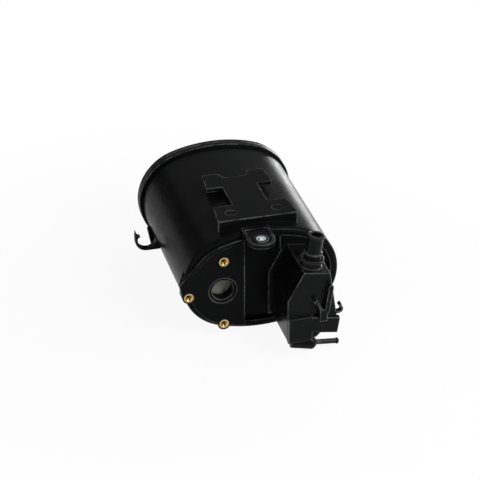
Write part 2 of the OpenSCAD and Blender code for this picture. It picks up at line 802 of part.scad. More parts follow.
module trap_housing() {
    color(plastic) difference() {
        union() {
            prism_y(-trap_fwd, recess_back) polygon(trap_outline);
            prism_y(recess_back - flange_t, recess_back) intersection() {
                union() {
                    polygon(inset(trap_outline, -flange_w));
                    translate([tab_x, trap_right_z]) square([trap_right - tab_x, body_h]);
                }
                oval(-recess_inset - bed_clear);
            }
            outlet_block(block_left, block_step_x, trap_bottom - block_drop, block_top);
            translate([block_step_x, 0, block_top - block_dip]) rotate([0, trap_tilt, 0])
                outlet_block(-cut, block_right - block_step_x, -block_h, 0);
            at_barrel() rotate_extrude() barrel_section();
            at_nipple() rotate_extrude() nipple_section();
            front_clip();
            small_hook();
        }
        prism_y(-trap_fwd + trap_wall, recess_back + cut) polygon(inset(trap_outline, trap_wall));
        at_nipple() translate([0, 0, -2 * trap_wall])
            cylinder(d = nipple_bore, h = nipple_l + 3 * trap_wall);
        at_barrel() translate([0, 0, barrel_l / 3]) cylinder(d = pipe_bore, h = barrel_l + pipe_l);
        translate([barrel_x + barrel_l / 2, -trap_fwd + trap_wall + pipe_bore / 2, barrel_z - cut])
            cylinder(d = pipe_bore, h = trap_bottom + 2 * trap_wall - barrel_z);
    }
}

// Brass inserts, grooved once round and bored for the valve screws
module thread_inserts() {
    color(brass) boss_places() translate([0, insert_l - pad_fwd, 0]) rotate([90, 0, 0]) difference() {
        cylinder(d = insert_d, h = insert_l);
        translate([0, 0, -cut]) cylinder(d = insert_bore, h = insert_l + 2 * cut);
        translate([0, 0, insert_l - insert_lead])
            cylinder(r1 = insert_bore / 2, r2 = insert_bore / 2 + 2 * insert_lead, h = 2 * insert_lead);
        translate([0, 0, (insert_l - insert_groove_w) / 2]) difference() {
            cylinder(d = insert_d + cut, h = insert_groove_w);
            translate([0, 0, -cut]) cylinder(r = insert_d / 2 - insert_groove, h = insert_l);
        }
    }
}

module lug_bush() {
    color(steel) translate([lug_x, -lug_reach, crown_z - lug_t]) difference() {
        cylinder(d = bush_d, h = lug_t);
        translate([0, 0, -cut]) cylinder(d = bush_bore, h = lug_t + 2 * cut);
    }
}

module vent_filter() {
    color(fleece) rod_y([port_x, port_z], filter_d, filter_y, filter_y + filter_t);
}

module front_grid(side) {
    color(natural) prism_y(grid_y, grid_y + grid_t) difference() {
        chamber(side, bed_clear);
        hole_field(side);
    }
}

module foam_sheet(side, y0) {
    color(foam) prism_y(y0, y0 + foam_t) chamber(side, bed_clear);
}

module carbon_bed(side) {
    color(carbon) prism_y(bed_y, bed_end_y) chamber(side, bed_clear);
}

module pressure_plate(side) {
    color(natural) {
        prism_y(plate_face_y, plate_face_y + plate_t) difference() {
            chamber(side, bed_clear);
            hole_field(side);
        }
        intersection() {
            spring_places() rod_y([0, 0], peg_d, plate_face_y, plate_face_y + plate_t + peg_h);
            prism_y(plate_face_y, cover_y) chamber(side, bed_clear);
        }
    }
}

// Height of the wire's centre after a number of turns; the end turns lie closed
function coil_height(turn) = let (closed = 1.05 * wire_d)
    let (open_l = spring_l - wire_d - 2 * closed)
    wire_d / 2 + closed * min(turn, 1) + closed * max(turn - spring_turns + 1, 0)
        + open_l * max(min(turn - 1, spring_turns - 2), 0) / (spring_turns - 2);

module coil_spring() {
    sides = 6;
    steps = 15 * spring_turns;
    points = [
        for (i = [0:steps], j = [0:sides - 1])
            let (turn = i * spring_turns / steps)
            let (r = spring_d / 2 + wire_d / 2 * cos(j * 360 / sides))
            let (y = coil_height(turn) + wire_d / 2 * sin(j * 360 / sides))
            [r * cos(360 * turn), y, r * sin(360 * turn)]
    ];
    skin = [
        for (i = [0:steps - 1], j = [0:sides - 1])
            let (k = (j + 1) % sides)
            [i * sides + j, i * sides + k, (i + 1) * sides + k, (i + 1) * sides + j]
    ];
    ends = [[for (j = [sides - 1:-1:0]) j], [for (j = [0:sides - 1]) steps * sides + j]];
    color(steel) translate([0, plate_face_y + plate_t, 0]) polyhedron(points, concat(skin, ends));
}

module main_spring(side) {
    translate([main_spring_x, 0, side * spring_z]) coil_spring();
}

module vent_spring() {
    translate([vent_spring_x, 0, 0]) coil_spring();
}

set_down() canister_shell();
set_down() rear_cover();
set_down() trap_housing();
set_down() thread_inserts();
set_down() lug_bush();
set_down() vent_filter();
set_down() front_grid(MAIN);  // main_front_grid
set_down() foam_sheet(MAIN, foam_y);  // main_front_foam
set_down() carbon_bed(MAIN);  // main_carbon_bed
set_down() foam_sheet(MAIN, bed_end_y);  // main_rear_foam
set_down() pressure_plate(MAIN);  // main_pressure_plate
set_down() main_spring(UPPER);  // main_spring_upper
set_down() main_spring(LOWER);  // main_spring_lower
set_down() front_grid(VENT);  // vent_front_grid
set_down() foam_sheet(VENT, foam_y);  // vent_front_foam
set_down() carbon_bed(VENT);  // vent_carbon_bed
set_down() foam_sheet(VENT, bed_end_y);  // vent_rear_foam
set_down() pressure_plate(VENT);  // vent_pressure_plate
set_down() vent_spring();
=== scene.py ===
"""Charcoal canister: the visual model, dressed on the CAD frame.

Blender's lengths are in metres in the CAD frame, where -Y is the end with the ports and +Z is up.
The sizes of new pieces are in mm in the body's own axes, whose origin is where the body's axis
meets the front shoulder line.
"""

from __future__ import annotations

import logging
from collections.abc import Mapping
from dataclasses import dataclass, field
from enum import Enum

import bpy
import numpy as np
from bpy.types import Material, Node, NodeSocket, NodeTree, Object
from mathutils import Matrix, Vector

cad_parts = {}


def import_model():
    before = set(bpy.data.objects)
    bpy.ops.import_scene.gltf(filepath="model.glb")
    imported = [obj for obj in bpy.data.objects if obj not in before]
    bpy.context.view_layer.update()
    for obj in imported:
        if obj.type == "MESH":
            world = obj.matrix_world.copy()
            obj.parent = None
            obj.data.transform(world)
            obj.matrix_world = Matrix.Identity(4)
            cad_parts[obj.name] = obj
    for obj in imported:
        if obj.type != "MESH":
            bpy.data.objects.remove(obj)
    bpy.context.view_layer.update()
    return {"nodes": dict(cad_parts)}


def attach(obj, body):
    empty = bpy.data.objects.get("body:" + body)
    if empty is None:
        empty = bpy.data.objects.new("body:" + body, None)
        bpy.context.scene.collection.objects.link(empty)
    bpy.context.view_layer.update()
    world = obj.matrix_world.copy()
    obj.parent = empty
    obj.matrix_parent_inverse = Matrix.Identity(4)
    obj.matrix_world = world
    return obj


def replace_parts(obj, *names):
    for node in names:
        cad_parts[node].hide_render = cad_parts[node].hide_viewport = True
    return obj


LOG = logging.getLogger("charcoal_canister")
MM = 0.001
TURN = 2.0 * np.pi
BODY_ORIGIN = np.array((8.95, -59.0, 54.6)) * MM
# The Mix node takes and gives colours at these numbers, because its other types share the names.
COLOUR_A, COLOUR_B, COLOUR_OUT = 6, 7, 2
# Nearly all of a noise texture's values lie between these two.
NOISE_LOW, NOISE_HIGH = 0.3, 0.7


class Slot(Enum):
    """Material slots of the part, as its record names them."""

    NYLON = "black_nylon"
    BRASS = "brass"
    STEEL = "zinc_steel"
    FLEECE = "filter_fleece"
    NATURAL = "natural_plastic"
    FOAM = "grey_foam"
    CARBON = "carbon_pellets"


def linear(code: str) -> tuple[float, float, float, float]:
    """Turn a hex sRGB colour into linear RGBA.

    The sRGB curve has a short straight part, and then a power.

    Args:
        code: colour as #rrggbb.

    Returns:
        The linear red, green, blue and an alpha of 1.
    """
    srgb = np.array([int(code[i : i + 2], 16) for i in (1, 3, 5)]) / 255.0
    rgb = np.where(srgb <= 0.04045, srgb / 12.92, ((srgb + 0.055) / 1.055) ** 2.4)
    return (*rgb.tolist(), 1.0)


def per_mm(size: float) -> float:
    """Give the texture scale, in repeats per metre, of a pattern about so many mm in size."""
    return 1.0 / (size * MM)


def plug(tree: NodeTree, node: Node, sockets: Mapping[str | int, object]) -> None:
    """Fill inputs of a node.

    Args:
        tree: node tree that holds the node.
        node: node to fill.
        sockets: input name or number to a value, or to an output that is linked to it.
    """
    for name, value in sockets.items():
        if isinstance(value, NodeSocket):
            tree.links.new(value, node.inputs[name])
        else:
            node.inputs[name].default_value = value


def add_node(
    tree: NodeTree, kind: str, sockets: Mapping[str | int, object], **settings: object
) -> Node:
    """Add a node to a tree, with its settings and what goes into its inputs.

    Args:
        tree: node tree that takes the node.
        kind: type name of the node.
        sockets: input name or number to a value, or to an output that is linked to it.
        settings: properties of the node.

    Returns:
        The new node.
    """
    node = tree.nodes.new(kind)
    for name, value in settings.items():
        setattr(node, name, value)
    plug(tree, node, sockets)
    return node


@dataclass(frozen=True)
class Finish:
    """A surface as it is made, which builds its material once and hands it out by name."""

    name: str

    def material(self) -> Material:
        """Find the material, or build it.

        Returns:
            The material of this finish.
        """
        found = bpy.data.materials.get(self.name)
        if found:
            return found
        made = bpy.data.materials.new(self.name)
        made.use_nodes = True
        tree = made.node_tree
        at = add_node(tree, "ShaderNodeTexCoord", {}).outputs["Object"]
        self.shade(tree, tree.nodes["Principled BSDF"], at)
        return made

    def shade(self, tree: NodeTree, shader: Node, at: NodeSocket) -> None:
        """Set the shader and the nodes before it, which each finish does in its own way."""
        raise NotImplementedError

    def dress(self, piece: Object) -> None:
        """Put the finish on every face of a piece.

        Args:
            piece: mesh object.
        """
        if not piece.material_slots:
            piece.data.materials.append(None)
        for slot in piece.material_slots:
            slot.link = "OBJECT"
            slot.material = self.material()


@dataclass(frozen=True)
class MouldedNylon(Finish):
    """Black glass-filled nylon from a polished mould.

    The eye gets a deep black with a satin sheen. The glass fibres cloud the gloss in soft flow
    patches and leave a very shallow orange peel. Each edge has the small radius of the tool. The
    outer edges are painted grey in patches, partly as rubbed wear and partly as painted highlight.
    """

    colour: str = "#0a0a0b"
    cloud: str = "#101112"
    # Grey of the outer edges, part rubbed wear and part painted highlight.
    worn_and_highlit: str = "#7c7c7c"
    # Share of the grey on an outer edge, part rubbed wear and part painted highlight, from one end
    # of the patches' range to the other.
    wear_and_highlight: tuple[float, float] = (0.14, 0.7)
    gloss: tuple[float, float] = (0.24, 0.34)
    ior: float = 1.5
    specular: float = 0.03
    flow_mm: float = 22.0
    # Real orange peel is near 0.8 mm; it is drawn coarser so that it shows at the picture's size.
    peel_mm: float = 2.2
    peel_depth_mm: float = 0.012
    edge_mm: float = 1.4
    edge_rays: int = 8
    # How open the inside is behind a spot where an edge begins, and where it is sharp.
    edge_open: tuple[float, float] = (0.92, 0.55)
    rub_and_highlight_mm: float = 10.0
    rub_and_highlight_range: tuple[float, float] = (0.38, 0.62)

    def shade(self, tree: NodeTree, shader: Node, at: NodeSocket) -> None:
        """Set the shader and the nodes before it.

        Args:
            tree: node tree of the material.
            shader: the material's Principled BSDF.
            at: Object coordinates in metres.
        """
        flow = add_node(
            tree, "ShaderNodeTexNoise",
            {"Vector": at, "Scale": per_mm(self.flow_mm), "Detail": 4.0, "Distortion": 1.2},
        )
        sheen = add_node(
            tree, "ShaderNodeMapRange",
            {"Value": flow.outputs["Fac"], "From Min": NOISE_LOW, "From Max": NOISE_HIGH,
             "To Min": self.gloss[0], "To Max": self.gloss[1]},
        )
        tint = add_node(
            tree, "ShaderNodeMix",
            {0: flow.outputs["Fac"], COLOUR_A: linear(self.colour), COLOUR_B: linear(self.cloud)},
            data_type="RGBA",
        )
        patch = add_node(
            tree, "ShaderNodeTexNoise",
            {"Vector": at, "Scale": per_mm(self.rub_and_highlight_mm), "Detail": 3.0},
        )
        reach = add_node(
            tree, "ShaderNodeMapRange",
            {"Value": patch.outputs["Fac"], "From Min": self.rub_and_highlight_range[0],
             "From Max": self.rub_and_highlight_range[1], "To Min": self.wear_and_highlight[0], "To Max": self.wear_and_highlight[1]},
        )
        # Rays that go inwards are stopped early at an outer edge alone, and only that gets the grey
        # of wear and painted highlight.
        corner = add_node(
            tree, "ShaderNodeAmbientOcclusion", {"Distance": self.edge_mm * MM},
            samples=self.edge_rays, inside=True, only_local=True,
        )
        wear_and_highlight = add_node(
            tree, "ShaderNodeMapRange",
            {"Value": corner.outputs["AO"], "From Min": self.edge_open[0],
             "From Max": self.edge_open[1], "To Min": 0.0, "To Max": reach.outputs["Result"]},
        )
        # Outer edges turn grey: part rubbed wear, part painted highlight of light caught on the
        # edge.
        rubbed_and_highlit = add_node(
            tree, "ShaderNodeMix",
            {0: wear_and_highlight.outputs["Result"], COLOUR_A: tint.outputs[COLOUR_OUT],
             COLOUR_B: linear(self.worn_and_highlit)},
            data_type="RGBA",
        )
        edge = add_node(
            tree, "ShaderNodeBevel", {"Radius": self.edge_mm * MM}, samples=self.edge_rays
        )
        peel = add_node(
            tree, "ShaderNodeTexNoise",
            {"Vector": at, "Scale": per_mm(self.peel_mm), "Detail": 2.0},
        )
        skin = add_node(
            tree, "ShaderNodeBump",
            {"Height": peel.outputs["Fac"], "Distance": self.peel_depth_mm * MM,
             "Normal": edge.outputs["Normal"]},
        )
        plug(tree, shader, {
            "IOR": self.ior,
            "Specular IOR Level": self.specular,
            "Base Color": rubbed_and_highlit.outputs[COLOUR_OUT],
            "Roughness": sheen.outputs["Result"],
            "Normal": skin.outputs["Normal"],
        })


@dataclass(frozen=True)
class WroughtMetal(Finish):
    """Metal that was turned or drawn, then tumbled.

    The eye gets the metal's own colour in the highlights, broken by fine tool marks and by faint
    handling clouds.
    """

    colour: str = "#d8bd80"
    tarnish: str = "#a98a50"
    gloss: tuple[float, float] = (0.18, 0.36)
    cloud_mm: float = 3.0
    # Real tool marks are near 0.1 mm apart; they are drawn at 0.4 mm so that they show.
    mark_mm: float = 0.4
    mark_depth_mm: float = 0.01

    def shade(self, tree: NodeTree, shader: Node, at: NodeSocket) -> None:
        """Set the shader and the nodes before it.

        Args:
            tree: node tree of the material.
            shader: the material's Principled BSDF.
            at: Object coordinates in metres.
        """
        cloud = add_node(
            tree, "ShaderNodeTexNoise",
            {"Vector": at, "Scale": per_mm(self.cloud_mm), "Detail": 5.0},
        )
        tint = add_node(
            tree, "ShaderNodeMix",
            {0: cloud.outputs["Fac"], COLOUR_A: linear(self.colour),
             COLOUR_B: linear(self.tarnish)},
            data_type="RGBA",
        )
        sheen = add_node(
            tree, "ShaderNodeMapRange",
            {"Value": cloud.outputs["Fac"], "From Min": NOISE_LOW, "From Max": NOISE_HIGH,
             "To Min": self.gloss[0], "To Max": self.gloss[1]},
        )
        marks = add_node(
            tree, "ShaderNodeTexNoise",
            {"Vector": at, "Scale": per_mm(self.mark_mm), "Detail": 1.0},
        )
        skin = add_node(
            tree, "ShaderNodeBump",
            {"Height": marks.outputs["Fac"], "Distance": self.mark_depth_mm * MM},
        )
        plug(tree, shader, {
            "Metallic": 1.0,
            "Base Color": tint.outputs[COLOUR_OUT],
            "Roughness": sheen.outputs["Result"],
            "Normal": skin.outputs["Normal"],
        })


@dataclass(frozen=True)
class CellularPack(Finish):
    """A soft or granular filling: fleece, foam or pellets, drawn as packed cells.

    The eye gets separate grains or pores and no gloss; the gaps between them carry painted shade.
    """

    colour: str = "#b9b8b2"
    # Colour of the painted shade in the gaps between the cells.
    shaded_gap: str = "#77766f"
    cell_mm: float = 0.5
    cells_per_fleck: float = 4.0
    relief_mm: float = 0.2
    roughness: float = 0.9

    def shade(self, tree: NodeTree, shader: Node, at: NodeSocket) -> None:
        """Set the shader and the nodes before it.

        Args:
            tree: node tree of the material.
            shader: the material's Principled BSDF.
            at: Object coordinates in metres.
        """
        cells = add_node(
            tree, "ShaderNodeTexVoronoi", {"Vector": at, "Scale": per_mm(self.cell_mm)}
        )
        fleck = add_node(
            tree, "ShaderNodeTexNoise",
            {"Vector": at, "Scale": per_mm(self.cells_per_fleck * self.cell_mm), "Detail": 3.0},
        )
        depth = add_node(
            tree, "ShaderNodeMath",
            {0: cells.outputs["Distance"], 1: fleck.outputs["Fac"]},
            operation="MULTIPLY",
        )
        # Painted shade: the colour darkens towards the cell borders, in the gaps between the grains.
        tint = add_node(
            tree, "ShaderNodeMix",
            {0: depth.outputs["Value"], COLOUR_A: linear(self.colour), COLOUR_B: linear(self.shaded_gap)},
            data_type="RGBA",
        )
        skin = add_node(
            tree, "ShaderNodeBump",
            {"Height": cells.outputs["Distance"], "Distance": self.relief_mm * MM},
            invert=True,
        )
        plug(tree, shader, {
            "Roughness": self.roughness,
            "Base Color": tint.outputs[COLOUR_OUT],
            "Normal": skin.outputs["Normal"],
        })


@dataclass(frozen=True)
class NaturalPlastic(Finish):
    """Uncoloured polypropylene of the grids and plates.

    The eye gets a milky off-white that lets a little light in, with a faint moulded cloudiness.
    """

    colour: str = "#d9d6cb"
    cloud: str = "#c8c4b6"
    cloud_mm: float = 12.0
    gloss: tuple[float, float] = (0.4, 0.55)
    ior: float = 1.49
    milkiness: float = 0.15
    light_reach: tuple[float, float, float] = (0.002, 0.002, 0.0015)

    def shade(self, tree: NodeTree, shader: Node, at: NodeSocket) -> None:
        """Set the shader and the nodes before it.

        Args:
            tree: node tree of the material.
            shader: the material's Principled BSDF.
            at: Object coordinates in metres.
        """
        cloud = add_node(
            tree, "ShaderNodeTexNoise",
            {"Vector": at, "Scale": per_mm(self.cloud_mm), "Detail": 3.0},
        )
        tint = add_node(
            tree, "ShaderNodeMix",
            {0: cloud.outputs["Fac"], COLOUR_A: linear(self.colour), COLOUR_B: linear(self.cloud)},
            data_type="RGBA",
        )
        sheen = add_node(
            tree, "ShaderNodeMapRange",
            {"Value": cloud.outputs["Fac"], "To Min": self.gloss[0], "To Max": self.gloss[1]},
        )
        plug(tree, shader, {
            "IOR": self.ior,
            "Subsurface Weight": self.milkiness,
            "Subsurface Radius": self.light_reach,
            "Base Color": tint.outputs[COLOUR_OUT],
            "Roughness": sheen.outputs["Result"],
        })


FINISHES: dict[Slot, Finish] = {
    Slot.NYLON: MouldedNylon("Moulded black nylon"),
    Slot.BRASS: WroughtMetal("Turned brass"),
    Slot.STEEL: WroughtMetal(
        "Zinc-plated steel", colour="#e4e8ea", tarnish="#bcc4c6", gloss=(0.08, 0.18)
    ),
    Slot.FLEECE: CellularPack(
        "Needled filter fleece", colour="#a3a29c", shaded_gap="#66655f", cell_mm=0.7
    ),
    Slot.NATURAL: NaturalPlastic("Natural polypropylene"),
    Slot.FOAM: CellularPack(
        "Open-cell foam", colour="#5c5e61", shaded_gap="#232426", cell_mm=1.2, relief_mm=0.5
    ),
    Slot.CARBON: CellularPack(
        "Activated carbon pellets",
        colour="#2b2b2c", shaded_gap="#070707", cell_mm=2.4, relief_mm=1.0, roughness=0.75,
    ),
}

# Small round forms get little of the edge grey, of wear and painted highlight alike.
FAINT_EDGED_NYLON = MouldedNylon("Faint-edged black nylon", wear_and_highlight=(0.14, 0.0))
# The trap is a moulding of its own, from a better polished tool.
GLOSSY_NYLON = MouldedNylon("Glossy black nylon", gloss=(0.2, 0.3), specular=0.08)

NODE_SLOTS: dict[str, Slot] = {
    "canister_shell": Slot.NYLON,
    "rear_cover": Slot.NYLON,
    "trap_housing": Slot.NYLON,
    "thread_inserts": Slot.BRASS,
    "lug_bush": Slot.STEEL,
    "vent_filter": Slot.FLEECE,
    "main_front_grid": Slot.NATURAL,
    "main_front_foam": Slot.FOAM,
    "main_carbon_bed": Slot.CARBON,
    "main_rear_foam": Slot.FOAM,
    "main_pressure_plate": Slot.NATURAL,
    "main_spring_upper": Slot.STEEL,
    "main_spring_lower": Slot.STEEL,
    "vent_front_grid": Slot.NATURAL,
    "vent_front_foam": Slot.FOAM,
    "vent_carbon_bed": Slot.CARBON,
    "vent_rear_foam": Slot.FOAM,
    "vent_pressure_plate": Slot.NATURAL,
    "vent_spring": Slot.STEEL,
}


class Ends(Enum):
    """How the first and last rows of a grid are closed."""

    LOOP = "the last row joins the first"
    POLES = "each of the two is one point"


def ease(share: np.ndarray) -> np.ndarray:
    """Rise from 0 to 1 with the share, by half a cosine wave that is level at both ends."""
    return (1.0 - np.cos(np.pi * np.clip(share, 0.0, 1.0))) / 2.0


def surface(x: np.ndarray, y: np.ndarray, z: np.ndarray) -> np.ndarray:
    """Put three coordinates together as one grid of points."""
    return np.stack(np.broadcast_arrays(x, y, z), axis=-1)


def grid_piece(
    name: str, points: np.ndarray, slot: Slot, ends: Ends, finish: Finish | None = None
) -> Object:
    """Make a piece from a grid of points whose columns close on themselves.

    Corner (i, j) of a quad is point i * columns + j, and its neighbours are one row down and one
    column on. At a pole the whole row is one point, and its quads become a fan of triangles.

    Args:
        name: name of the piece.
        points: array of rows by columns by 3, in mm in the body's axes.
        slot: material slot it wears.
        ends: how the first and last rows are closed.
        finish: what it is dressed in, where that isn't its slot's own finish.

    Returns:
        The piece, dressed and riding on the body.
    """
    rows, columns = points.shape[:2]
    j = np.arange(columns)
    right = (j + 1) % columns
    corners, bands, fans = points.reshape(-1, 3), rows, []
    if ends is Ends.POLES:
        corners = np.concatenate((points[1:-1].reshape(-1, 3), points[0, :1], points[-1, :1]))
        rows -= 2
        bands = rows - 1
        last, pole = bands * columns, np.full(columns, rows * columns)
        fans = np.stack((pole, right, j), axis=-1).tolist()
        fans += np.stack((pole + 1, last + j, last + right), axis=-1).tolist()
    i = np.arange(bands)[:, None]
    here, down = i * columns, (i + 1) % rows * columns
    quads = np.stack((here + j, here + right, down + right, down + j), axis=-1)
    mesh = bpy.data.meshes.new(name)
    mesh.from_pydata(
        (corners * MM + BODY_ORIGIN).tolist(), [], quads.reshape(-1, 4).tolist() + fans
    )
    mesh.polygons.foreach_set("use_smooth", np.ones(len(mesh.polygons), dtype=bool))
    piece = bpy.data.objects.new(name, mesh)
    bpy.context.collection.objects.link(piece)
    (finish or FINISHES[slot]).dress(piece)
    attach(piece, "root")
    return piece


@dataclass(frozen=True)
class BodyOval:
    """The body's outline: an oval of four arcs, two round ends and two nearly flat sides."""

    half_width: float = 74.0
    half_height: float = 52.0
    end_radius: float = 48.0
    per_arc: int = 120

    def walk(self) -> np.ndarray:
        """Walk once round the oval, from the lower right by the top.

        A point is its arc's centre plus the arc's radius times the outward direction. The arcs are
        tangent where the line through their centres meets them.

        Returns:
            Three columns: the points' x and z in mm, and the turn of the outward direction there.
        """
        end_x = self.half_width - self.end_radius
        rise = self.half_height - self.end_radius
        flat_z = (end_x**2 - rise**2) / (2.0 * rise)
        flat_radius = self.half_height + flat_z
        turn = np.arctan2(flat_z, end_x)
        x, z, radius, start, end = np.array((
            (end_x, 0.0, self.end_radius, -turn, turn),
            (0.0, -flat_z, flat_radius, turn, np.pi - turn),
            (-end_x, 0.0, self.end_radius, np.pi - turn, np.pi + turn),
            (0.0, flat_z, flat_radius, np.pi + turn, TURN - turn),
        )).T
        angle = np.linspace(start, end, self.per_arc, endpoint=False)
        walked = np.stack((x + radius * np.cos(angle), z + radius * np.sin(angle), angle))
        return walked.transpose(0, 2, 1).reshape(3, -1, 1)


@dataclass
class RearJoint:
    """The hot-plate weld between shell and cover: twin beads of flash pressed into the groove."""

    oval: BodyOval = BodyOval()
    rim_proud: float = 3.0
    groove: float = 1.2
    joint_y: float = 172.0
    bead: float = 0.32
    # The bead's middle stands this share of its radius above the floor of the groove.
    seat: float = 0.6
    swell: float = 0.12
    swells_round: tuple[float, float] = (23.0, 7.0)
    around: int = 10

    def bead_piece(self, name: str, y: float) -> Object:
        """Carry a circle round the oval, its radius swelling a little along the way as flash does.

        The swelling is a product of two sine waves along the way round.

        Args:
            name: name of the piece.
            y: where the bead lies along the body in mm.

        Returns:
            The piece.
        """
        x, z, angle = self.oval.walk()
        way = np.linspace(0.0, TURN, len(x), endpoint=False)[:, None]
        fast, slow = self.swells_round
        radius = self.bead * (1.0 + self.swell * np.sin(fast * way) * np.sin(slow * way + y))
        turn = np.linspace(0.0, TURN, self.around, endpoint=False)
        out = self.rim_proud - self.groove + self.seat * self.bead + radius * np.cos(turn)
        points = surface(
            x + out * np.cos(angle), y + radius * np.sin(turn), z + out * np.sin(angle)
        )
        return grid_piece(name, points, Slot.NYLON, Ends.LOOP)

    def build(self) -> list[Object]:
        """Build both beads of the joint.

        Returns:
            The two pieces.
        """
        return [
            self.bead_piece("rear_weld_bead_front", self.joint_y + self.bead),
            self.bead_piece("rear_weld_bead_back", self.joint_y + self.groove - self.bead),
        ]


class Boss(Enum):
    """The bosses of the valve pad, each with its turn round their circle in degrees."""

    TOP = 90.0
    LEFT = 180.0
    BOTTOM = 270.0


@dataclass(frozen=True)
class BossCircle:
    """The circle on which the bosses of the valve pad stand."""

    centre: tuple[float, float] = (-36.8, -8.0)
    radius: float = 33.2

    def spot(self, boss: Boss) -> np.ndarray:
        """Give a boss's x and z: the centre plus the radius times the direction of its turn."""
        angle = np.radians(boss.value)
        return self.centre + self.radius * np.array((np.cos(angle), np.sin(angle)))


@dataclass
class InsertThreads:
    """The M6 thread inside each of the three brass inserts, a coil of low ridges in the bore."""

    bosses: BossCircle = BossCircle()
    bore: float = 2.5
    crest: float = 0.32
    pitch: float = 1.0
    # Half of a ridge's length along the bore, as a share of the pitch.
    flank: float = 0.35
    start_y: float = -5.0
    turns: float = 5.6
    per_turn: int = 40
    around: int = 8

    def coil(self, x: float, z: float) -> np.ndarray:
        """Carry a small oval up a screw line; in the first and last half turn it tapers to a point.

        Args:
            x: centre of the bore in mm.
            z: centre of the bore in mm.

        Returns:
            Grid of points.
        """
        steps = int(self.turns * self.per_turn)
        turn = np.linspace(0.0, self.turns * TURN, steps)[:, None]
        taper = np.clip(np.minimum(turn, turn[-1] - turn) / np.pi, 0.0, 1.0)
        ring = np.linspace(0.0, TURN, self.around, endpoint=False)
        radius = self.bore + self.crest * taper * np.cos(ring)
        screw = self.start_y + self.pitch * turn / TURN
        y = screw + self.flank * self.pitch * taper * np.sin(ring)
        return surface(x + radius * np.cos(turn), y, z + radius * np.sin(turn))

    def build(self) -> list[Object]:
        """Build a coil in each insert.

        Returns:
            The three pieces.
        """
        return [
            grid_piece(
                f"insert_thread_{boss.name.lower()}",
                self.coil(*self.bosses.spot(boss)), Slot.BRASS, Ends.POLES,
            )
            for boss in Boss
        ]


@dataclass
class BossCollars:
    """The low ring that the mould leaves round each insert, where the hot brass was pressed in."""

    bosses: BossCircle = BossCircle()
    face_y: float = -6.0
    inner: float = 4.62
    outer: float = 5.7
    height: float = 0.55
    root: float = 0.15
    # Power of the section's cosine; under 1 it squares the oval's shoulders.
    shoulder: float = 0.6
    profile_points: int = 24
    around: int = 96

    def ring(self, x: float, z: float) -> np.ndarray:
        """Turn a flattened oval about the insert's axis.

        The oval's half width goes by a power of the cosine. Its sine is multiplied by the height
        where it stands proud of the pad, and by the root where it is sunk in it.

        Args:
            x: centre of the insert in mm.
            z: centre of the insert in mm.

        Returns:
            Grid of points.
        """
        turn = np.linspace(0.0, TURN, self.around, endpoint=False)[:, None]
        bend = np.linspace(TURN, 0.0, self.profile_points, endpoint=False)
        middle, half = (self.outer + self.inner) / 2.0, (self.outer - self.inner) / 2.0
        out = middle + half * np.sign(np.cos(bend)) * np.abs(np.cos(bend)) ** self.shoulder
        rise = np.where(np.sin(bend) > 0.0, self.height, self.root) * np.sin(bend)
        return surface(x + out * np.cos(turn), self.face_y - rise, z + out * np.sin(turn))

    def build(self) -> list[Object]:
        """Build a ring round each insert.

        Returns:
            The three pieces.
        """
        return [
            grid_piece(
                f"boss_collar_{boss.name.lower()}",
                self.ring(*self.bosses.spot(boss)), Slot.NYLON, Ends.LOOP, FAINT_EDGED_NYLON,
            )
            for boss in Boss
        ]


@dataclass
class PadLip:
    """The soft lip along the pad's upper left edge, which sweeps down into the ear by the boss."""

    oval: BodyOval = BodyOval()
    pad_inset: float = 4.7
    face_y: float = -6.0
    back_y: float = 0.0
    # The ear's upper side is a line at this distance from the centre of the oval's end, square to
    # this turn in degrees.
    line_distance: float = 43.81
    line_turn: float = 138.8
    # The lip runs between these two turns, and fades in and out over this many degrees.
    turns: tuple[float, float] = (99.0, 171.0)
    fade: float = 7.0
    width: float = 4.6
    proud: float = 0.3
    sunk: float = -0.3
    corner: float = 0.9
    around: int = 48

    def sweep(self, angle: np.ndarray) -> np.ndarray:
        """Give how far the lip's path lies beyond the pad's round edge.

        Seen from the centre of the oval's end, the ear's line lies at its distance over the cosine
        of the turn away from square. Before square, the path leaves the pad's edge by half a cosine
        wave.

        Args:
            angle: turn of the outward direction, in radians.

        Returns:
            The distance in mm.
        """
        square, start = np.radians(self.line_turn), np.radians(self.turns[0] + self.fade)
        pad_radius = self.oval.end_radius - self.pad_inset
        near = (self.line_distance - pad_radius) * ease((angle - start) / (square - start))
        line = self.line_distance / np.cos(np.maximum(angle - square, 0.0)) - pad_radius
        return np.where(angle < square, near, line)

    def build(self) -> list[Object]:
        """Carry a rounded rectangle along the pad's edge, then along the ear's line.

        The section is four corner centres, each plus the corner's radius times a direction. At each
        end the lip sinks below the pad by half a cosine wave, and closes to a point inside it.

        Returns:
            The piece.
        """
        path = self.oval.walk()
        first, last = np.radians(self.turns)
        x, z, angle = path[:, ((path[2] >= first) & (path[2] <= last)).ravel()]
        share = np.minimum(angle - first, last - angle) / np.radians(self.fade)
        proud = self.sunk + (self.proud - self.sunk) * ease(share)
        edge = self.sweep(angle) - self.pad_inset
        outer, inner, front = edge + proud, edge + self.proud - self.width, self.face_y - proud
        across = (outer - inner) / 2.0 - self.corner
        along = (self.back_y - front) / 2.0 - self.corner
        bend = (np.arange(self.around) + 0.5) * TURN / self.around
        cos, sin = np.cos(bend), np.sin(bend)
        out = (outer + inner) / 2.0 + np.sign(cos) * across + self.corner * cos
        y = (self.back_y + front) / 2.0 + np.sign(sin) * along + self.corner * sin
        points = surface(x + out * np.cos(angle), y, z + out * np.sin(angle))
        points[[0, -1]] = points[[0, -1]].mean(axis=1, keepdims=True)
        return [grid_piece("pad_lip", points, Slot.NYLON, Ends.POLES)]


